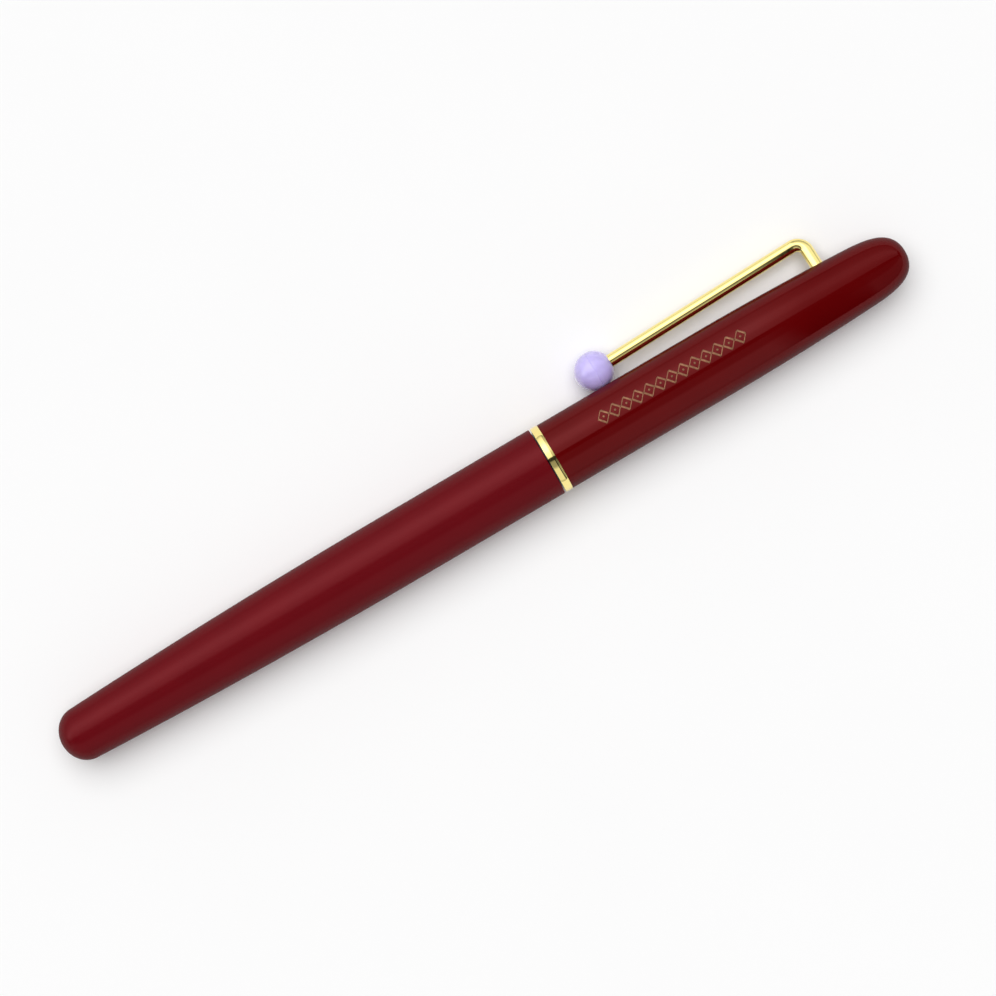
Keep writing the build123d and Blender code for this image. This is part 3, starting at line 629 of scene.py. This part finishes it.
COLLAR_REAR, COLLAR_FRONT = 71.5, 88.5
THREAD_REAR = 71.7  # the first row of the thread
RELIEF_X = 79.4  # plain from here to the flange
COLLAR_RADIUS = 4.1
THREAD_ROOT, THREAD_FRONT, THREAD_STEP = 3.95, 78.8, 0.05
BARREL_THREAD = (THREAD_ROOT, 4.2, 0.75, 71.6, THREAD_FRONT)  # root, crest, pitch, start and end
FLANGE_EDGE, GROOVE_EDGE, COLLAR_EDGE, REAR_EDGE = 0.06, 0.04, 0.08, 0.1
SNAP_X, GROOVE_HALF, GROOVE_ROOT = 85.8, 0.22, 3.92
FLANGE_RADIUS, FLANGE_FRONT = 4.5, 81.5
SPIGOT_RADIUS, SECTION_BORE = 3.7, 3.4
collar = skin(
    "threaded_collar",
    [
        *rounded_rows(
            (RELIEF_X, THREAD_ROOT),
            (BARREL_MOUTH, THREAD_ROOT),
            (BARREL_MOUTH, FLANGE_RADIUS, FLANGE_EDGE),
            (FLANGE_FRONT, FLANGE_RADIUS, FLANGE_EDGE),
            (FLANGE_FRONT, COLLAR_RADIUS),
            (SNAP_X - GROOVE_HALF, COLLAR_RADIUS, GROOVE_EDGE),
            (SNAP_X - GROOVE_HALF, GROOVE_ROOT),
            (SNAP_X + GROOVE_HALF, GROOVE_ROOT),
            (SNAP_X + GROOVE_HALF, COLLAR_RADIUS, GROOVE_EDGE),
            (COLLAR_FRONT, COLLAR_RADIUS, COLLAR_EDGE),
            (COLLAR_FRONT, SPIGOT_RADIUS),
            (BARREL_MOUTH, SPIGOT_RADIUS),
            (BARREL_MOUTH, SECTION_BORE),
            (COLLAR_REAR, SECTION_BORE),
            (COLLAR_REAR, THREAD_ROOT, REAR_EDGE),
        ),
        *[(x, thread(x, *BARREL_THREAD)) for x in np.arange(THREAD_REAR, THREAD_FRONT, THREAD_STEP)],
    ],
    around=SECTION_AROUND,
)
dress(collar, dark_steel)
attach(collar, "section")
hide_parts("section_collar")

# The converter's rod has a coarse thread with two flats, which run in the keyed guide.
ROD_THREAD = (1.3, 1.5, 3.0, 42.0, 79.5)
ROD_FLAT = 1.15
ROD_REAR, PISTON_REAR = 43.0, 78.6
ROD_STEP = 0.1
ROD_END_RADIUS = 0.95
PEG_RADIUS, PEG_HEAD_RADIUS, PEG_HEAD_START, PEG_END = 0.7, 1.1, 80.0, 80.9
PEG_EDGE, PEG_NOSE = 0.05, 0.15


def rod_row(x):
    """The rod's radius at x for each angle: its thread, cut off at the two flats."""
    flats = ROD_FLAT / np.maximum(np.abs(np.cos(section_angles)), 0.1)
    return x, np.minimum(thread(x, *ROD_THREAD), flats)


rod = skin(
    "threaded_rod",
    [
        (ROD_REAR, 0),
        (ROD_REAR, ROD_END_RADIUS),
        *[rod_row(x) for x in np.arange(ROD_REAR + ROD_STEP, PISTON_REAR, ROD_STEP)],
        rod_row(PISTON_REAR),
        (PISTON_REAR, PEG_RADIUS),
        (PEG_HEAD_START, PEG_RADIUS),
        *rounded_rows(
            (PEG_HEAD_START, PEG_HEAD_RADIUS, PEG_EDGE), (PEG_END, PEG_HEAD_RADIUS, PEG_NOSE), (PEG_END, 0)
        ),
    ],
    around=SECTION_AROUND,
)
dress(rod, grey)
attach(rod, "piston")
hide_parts("piston_rod")

# The converter's tube is clear, and is turned finely so that it refracts cleanly.
TUBE_REAR, TUBE_SHOULDER, TUBE_FRONT, RESERVOIR_END = 51.0, 86.5, 89.9, 84.0
TUBE_RADIUS, TUBE_BORE, NECK_RADIUS, MOUTH_BORE = 3.3, 2.75, 2.4, 1.28
SHOULDER_SLOPE, NECK_SLOPE, RESERVOIR_SLOPE = 0.5, 0.3, 0.4
FINE_EDGE, MID_EDGE, SOFT_EDGE = 0.08, 0.15, 0.3
tube = lathe(
    "clear_tube",
    rounded(
        (TUBE_REAR, TUBE_BORE, FINE_EDGE),
        (TUBE_REAR, TUBE_RADIUS, FINE_EDGE),
        (TUBE_SHOULDER - SHOULDER_SLOPE, TUBE_RADIUS, SOFT_EDGE),
        (TUBE_SHOULDER, NECK_RADIUS + NECK_SLOPE, MID_EDGE),
        (TUBE_SHOULDER, NECK_RADIUS),
        (TUBE_FRONT - NECK_SLOPE, NECK_RADIUS, MID_EDGE),
        (TUBE_FRONT, NECK_RADIUS - NECK_SLOPE, MID_EDGE),
        (TUBE_FRONT, MOUTH_BORE, FINE_EDGE),
        (RESERVOIR_END, MOUTH_BORE, FINE_EDGE),
        (RESERVOIR_END - RESERVOIR_SLOPE, TUBE_BORE, MID_EDGE),
    ),
    closed=True,
)
dress(tube, clear)
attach(tube, "converter")
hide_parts("converter_tube")

# --- Nib: a bent sheet cut to an outline, with a breather hole and a slit from there to the tip ----------
NIB_TAIL, NIB_TIP, NIB_SHEET = 95.0, 119.2, 0.3
BREATHER_X, BREATHER_RADIUS, SLIT_HALF = 110.2, 0.5, 0.045
SHANK_END, SHANK_RADIUS = 103.5, 2.72
ARCH_X = (SHANK_END, 108.5, 120.5)
ARCH_RADIUS = np.polyfit(ARCH_X, (SHANK_RADIUS, 3.3, 2.3), 2)
ARCH_HEIGHT = np.polyfit(ARCH_X, (0.0, -0.72, -1.15), 2)  # its centre over the pen's axis
# Half the nib's width from above: distance along, half width and slope.
NIB_OUTLINE = [
    (NIB_TAIL, 2.35, 0.0), (104.0, 2.35, 0.06), (107.5, 3.05, -0.08), (113.0, 1.45, -0.29),
    (NIB_TIP, 0.36, -0.1),
]
NIB_COLUMNS = 16
upright = Place(PEN.origin, (1, 0, 0), (0, 0, 1))


def hermite(x, rows):
    """A smooth curve through rows of (x, value, slope)."""
    k = min(max(int(np.searchsorted([row[0] for row in rows], x)) - 1, 0), len(rows) - 2)
    (x0, value0, slope0), (x1, value1, slope1) = rows[k], rows[k + 1]
    length = x1 - x0
    t = (x - x0) / length
    near = value0 * (1 + 2 * t) + slope0 * length * t
    far = value1 * (3 - 2 * t) + slope1 * length * (t - 1)
    return near * (1 - t) ** 2 + far * t**2


def nib_row(x, way):
    """Points over and under the sheet at x, from the middle to the edge on one side."""
    radius = np.polyval(ARCH_RADIUS, x) if x > SHANK_END else SHANK_RADIUS
    height = np.polyval(ARCH_HEIGHT, x) if x > SHANK_END else 0.0
    hole = sqrt(max(0.0, BREATHER_RADIUS**2 - (x - BREATHER_X) ** 2))
    gap = max(hole, SLIT_HALF) if x > BREATHER_X else hole
    edge = hermite(x, NIB_OUTLINE)
    angles = way * np.linspace(asin(gap / radius), asin(edge / radius), NIB_COLUMNS + 1)
    lift = np.array((0, 0, height * MM))
    return upright.point(x, radius, angles) + lift, upright.point(x, radius - NIB_SHEET, angles) + lift


hole_start = BREATHER_X - BREATHER_RADIUS
hole_turn = np.linspace(0, pi - asin(SLIT_HALF / BREATHER_RADIUS), 25)
hole_x = BREATHER_X - BREATHER_RADIUS * np.cos(hole_turn)
nib_x = [*np.linspace(NIB_TAIL, hole_start, 60)[:-1], *hole_x, *np.linspace(hole_x[-1], NIB_TIP, 50)[1:]]
first_open = nib_x.index(hole_x[0])
nib_vertices, nib_faces = [], []
for way in (1, -1):
    base = len(nib_vertices)
    for x in nib_x:
        for points in nib_row(x, way):
            nib_vertices.extend(points)

    def over(i, k):
        return base + (2 * i) * (NIB_COLUMNS + 1) + k

    def under(i, k):
        return over(i, k) + NIB_COLUMNS + 1

    sheet = []
    last = len(nib_x) - 1
    for i in range(last):
        for k in range(NIB_COLUMNS):
            sheet.append((over(i, k), over(i, k + 1), over(i + 1, k + 1), over(i + 1, k)))
            sheet.append((under(i, k), under(i + 1, k), under(i + 1, k + 1), under(i, k + 1)))
        k = NIB_COLUMNS
        sheet.append((over(i, k), under(i, k), under(i + 1, k), over(i + 1, k)))
        if i >= first_open:
            sheet.append((over(i, 0), over(i + 1, 0), under(i + 1, 0), under(i, 0)))
    for k in range(NIB_COLUMNS):
        sheet.append((over(0, k), under(0, k), under(0, k + 1), over(0, k + 1)))
        sheet.append((over(last, k), over(last, k + 1), under(last, k + 1), under(last, k)))
    nib_faces += sheet if way == 1 else [face[::-1] for face in sheet]
blade = new_object("nib_blade", nib_vertices, nib_faces)
blade.modifiers.new("middle", "WELD").merge_threshold = WELD_GAP
smooth_by_angle(finished(blade), 40)
dress(blade, nib_steel)
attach(blade, "section")
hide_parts("nib")

# --- Foil ornament on the cap: a chain of lozenges with a dot in each -----------------------------
FOIL_START, FOIL_END = 89.6, 113.9
FOIL_HALF = 1.05  # half the ornament's height, along the surface
FOIL_LINKS = 13
FOIL_PROUD, FOIL_THICKNESS = 0.012, 0.02
LINK_GAP, THIN, THICK, DOT = 0.06, 0.14, 0.3, 0.17
FOIL_TURN = asin(1.4 / CAP_RADIUS)  # from the top towards the clip
foil_vertices, foil_faces = [], []


def foil_point(along, height):
    radius = np.interp(along, cap_line[:, 0], cap_line[:, 1]) + FOIL_PROUD
    return PEN.point(along, radius, TOP - FOIL_TURN - height / radius)


def foil_stroke(start, end, width, steps=8):
    """A straight stroke between two points given as (distance along, height), in mm."""
    start, end = np.array(start, float), np.array(end, float)
    way = (end - start) / np.linalg.norm(end - start)
    side = np.array((-way[1], way[0])) / 2
    first = len(foil_vertices)
    for share in np.linspace(0, 1, steps + 1):
        spot = start + (end - start) * share
        foil_vertices.append(foil_point(*(spot + side * width)))
        foil_vertices.append(foil_point(*(spot - side * width)))
    for k in range(steps):
        a = first + 2 * k
        foil_faces.append((a, a + 1, a + 3, a + 2))


def foil_dot(centre, size, corners=12):
    """A round dot at (distance along, height), in mm."""
    first = len(foil_vertices)
    for k in range(corners):
        angle = 2 * pi * k / corners
        foil_vertices.append(foil_point(centre[0] + size * cos(angle), centre[1] + size * sin(angle)))
    foil_faces.append(tuple(range(first + corners - 1, first - 1, -1)))


link_pitch = (FOIL_END - FOIL_START) / FOIL_LINKS
for k in range(FOIL_LINKS):
    west = FOIL_START + k * link_pitch + LINK_GAP
    east = FOIL_START + (k + 1) * link_pitch - LINK_GAP
    middle = (west + east) / 2
    foil_stroke((west, 0), (middle, FOIL_HALF), THIN)
    foil_stroke((west, 0), (middle, -FOIL_HALF), THICK)
    foil_stroke((middle, FOIL_HALF), (east, 0), THICK)
    foil_stroke((middle, -FOIL_HALF), (east, 0), THIN)
    foil_dot((middle, 0), DOT)
foil = new_object("cap_foil", foil_vertices, foil_faces)
thicken = foil.modifiers.new("thickness", "SOLIDIFY")
thicken.thickness = FOIL_THICKNESS * MM
thicken.offset = -1
finished(foil)
dress(foil, foil_gold)
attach(foil, "cap")

# --- Floor ----------------------------------------------------------------------------------------
FLOOR_HALF = 4.0
floor = new_object(
    "floor",
    [(x * FLOOR_HALF, y * FLOOR_HALF, 0) for x, y in ((-1, -1), (1, -1), (1, 1), (-1, 1))],
    [(0, 1, 2, 3)],
)
dress(floor, surface("floor", (0.92, 0.92, 0.92), 0.6, shade=0.004, patch=40, Specular_IOR_Level=0.0))

# --- Light ----------------------------------------------------------------------------------------
# What the glossy surfaces reflect is a light tent round the pen's axis, in two halves. Each half's
# brightness is given by the angle in degrees from straight up towards +Y, and dimmed along X in metres.
# Matt surfaces take their light from a broad sun overhead and a little from all round.
TENT_RADIUS = 0.8
LEFT_TENT = [
    (2.5, 0.0), (5, 1.1), (18, 1.4), (30, 2.1), (45, 2.2), (55, 1.6), (65, 1.2), (80, 0.95), (85, 0.6),
    (90, 0.55),
]
TENT_STEP = 0.5  # degrees
LEFT_ALONG = [(-4, 1.0), (0.15, 1.0), (0.21, 0.5), (4, 0.42)]
RIGHT_TENT = [(-90, 0.55), (-85, 0.6), (-80, 0.85), (-38, 0.85), (-29, 0.35), (-11, 0.3), (-6, 0.0)]
RIGHT_ALONG = [(-4, 1.0), (0.16, 1.0), (0.19, 0.0), (0.24, 0.0), (0.29, 0.45), (4, 0.6)]


def tent(name, brightness, along):
    """A curved emitter that only shows in reflections."""
    angles = np.arange(brightness[0][0], brightness[-1][0] + TENT_STEP / 2, TENT_STEP)
    values = np.interp(angles, *zip(*brightness))
    xs = np.unique(np.concatenate([np.linspace(a, b, 5) for (a, _), (b, _) in zip(along, along[1:])]))
    vertices, glow = [], []
    for x, share in zip(xs, np.interp(xs, *zip(*along))):
        for angle, value in zip(np.radians(angles), values):
            vertices.append((x, AXIS_Y + TENT_RADIUS * sin(angle), AXIS_Z + TENT_RADIUS * cos(angle)))
            glow.append(value * share)
    count = len(angles)
    faces = []
    for k in range(len(xs) - 1):
        for j in range(count - 1):
            a = k * count + j
            faces.append((a, a + 1, a + count + 1, a + count))
    obj = new_object(name, vertices, faces)
    obj.data.attributes.new("glow", "FLOAT", "POINT").data.foreach_set("value", glow)
    material = bpy.data.materials.new(name)
    material.use_nodes = True
    tree = material.node_tree
    tree.nodes.clear()
    attribute = tree.nodes.new("ShaderNodeAttribute")
    attribute.attribute_name = "glow"
    emission = tree.nodes.new("ShaderNodeEmission")
    output = tree.nodes.new("ShaderNodeOutputMaterial")
    tree.links.new(attribute.outputs["Fac"], emission.inputs["Strength"])
    tree.links.new(emission.outputs["Emission"], output.inputs["Surface"])
    obj.data.materials.append(material)
    obj.visible_camera = False
    obj.visible_diffuse = False
    obj.visible_shadow = False
    return obj


tent("left_tent", LEFT_TENT, LEFT_ALONG)
tent("right_tent", RIGHT_TENT, RIGHT_ALONG)

KEY_SPREAD, KEY_STRENGTH, KEY_LEAN = 64, 2.58, -15  # the lean is from above towards the clip's side
SKY_MATT, SKY_GLOSSY, SKY_SEEN = 0.27, 0.032, 0.955
key_data = bpy.data.lights.new("key", "SUN")
key_data.angle = radians(KEY_SPREAD)
key_data.energy = KEY_STRENGTH
key = bpy.data.objects.new("key", key_data)
scene.collection.objects.link(key)
key.rotation_euler = (radians(KEY_LEAN), 0, 0)
key.visible_glossy = False

world = bpy.data.worlds.new("studio")
scene.world = world
world.use_nodes = True
tree = world.node_tree
tree.nodes.clear()
rays = tree.nodes.new("ShaderNodeLightPath")
output = tree.nodes.new("ShaderNodeOutputWorld")


def sky(strength):
    """A grey background of that strength."""
    node = tree.nodes.new("ShaderNodeBackground")
    node.inputs["Color"].default_value = (strength, strength, strength, 1)
    return node.outputs["Background"]


def choose(ray, otherwise, then):
    """The shader then for rays of that kind, and the other one for all others."""
    mix = tree.nodes.new("ShaderNodeMixShader")
    tree.links.new(rays.outputs[ray], mix.inputs["Fac"])
    tree.links.new(otherwise, mix.inputs[1])
    tree.links.new(then, mix.inputs[2])
    return mix.outputs["Shader"]


lit = choose("Is Diffuse Ray", sky(SKY_GLOSSY), sky(SKY_MATT))
tree.links.new(choose("Is Camera Ray", lit, sky(SKY_SEEN)), output.inputs["Surface"])

# --- Camera: straight down, the pen at a slant ------------------------------------------------------
LENS, SENSOR = 100.0, 36.0
IMAGE_WIDTH = 0.1429  # at the height of the pen's axis
SHIFT_RIGHT, SHIFT_UP = 0.00202, 0.00004  # from over the pen's axis at X = 0, in the image's directions
RIGHT = Vector((0.8624, -0.5063, 0)).normalized()  # the image's directions on the table
UP = Vector((0, 0, 1)).cross(RIGHT)
camera_data = bpy.data.cameras.new("camera")
camera_data.lens = LENS
camera_data.sensor_width = SENSOR
camera = bpy.data.objects.new("camera", camera_data)
scene.collection.objects.link(camera)
spot = Vector((0, AXIS_Y, AXIS_Z + IMAGE_WIDTH * LENS / SENSOR)) + RIGHT * SHIFT_RIGHT + UP * SHIFT_UP
turn = Matrix((RIGHT, UP, Vector((0, 0, 1)))).transposed().to_4x4()
camera.matrix_world = Matrix.Translation(spot) @ turn
camera_data.clip_start, camera_data.clip_end = 0.01, 20
scene.camera = camera
scene.view_settings.view_transform = "Standard"
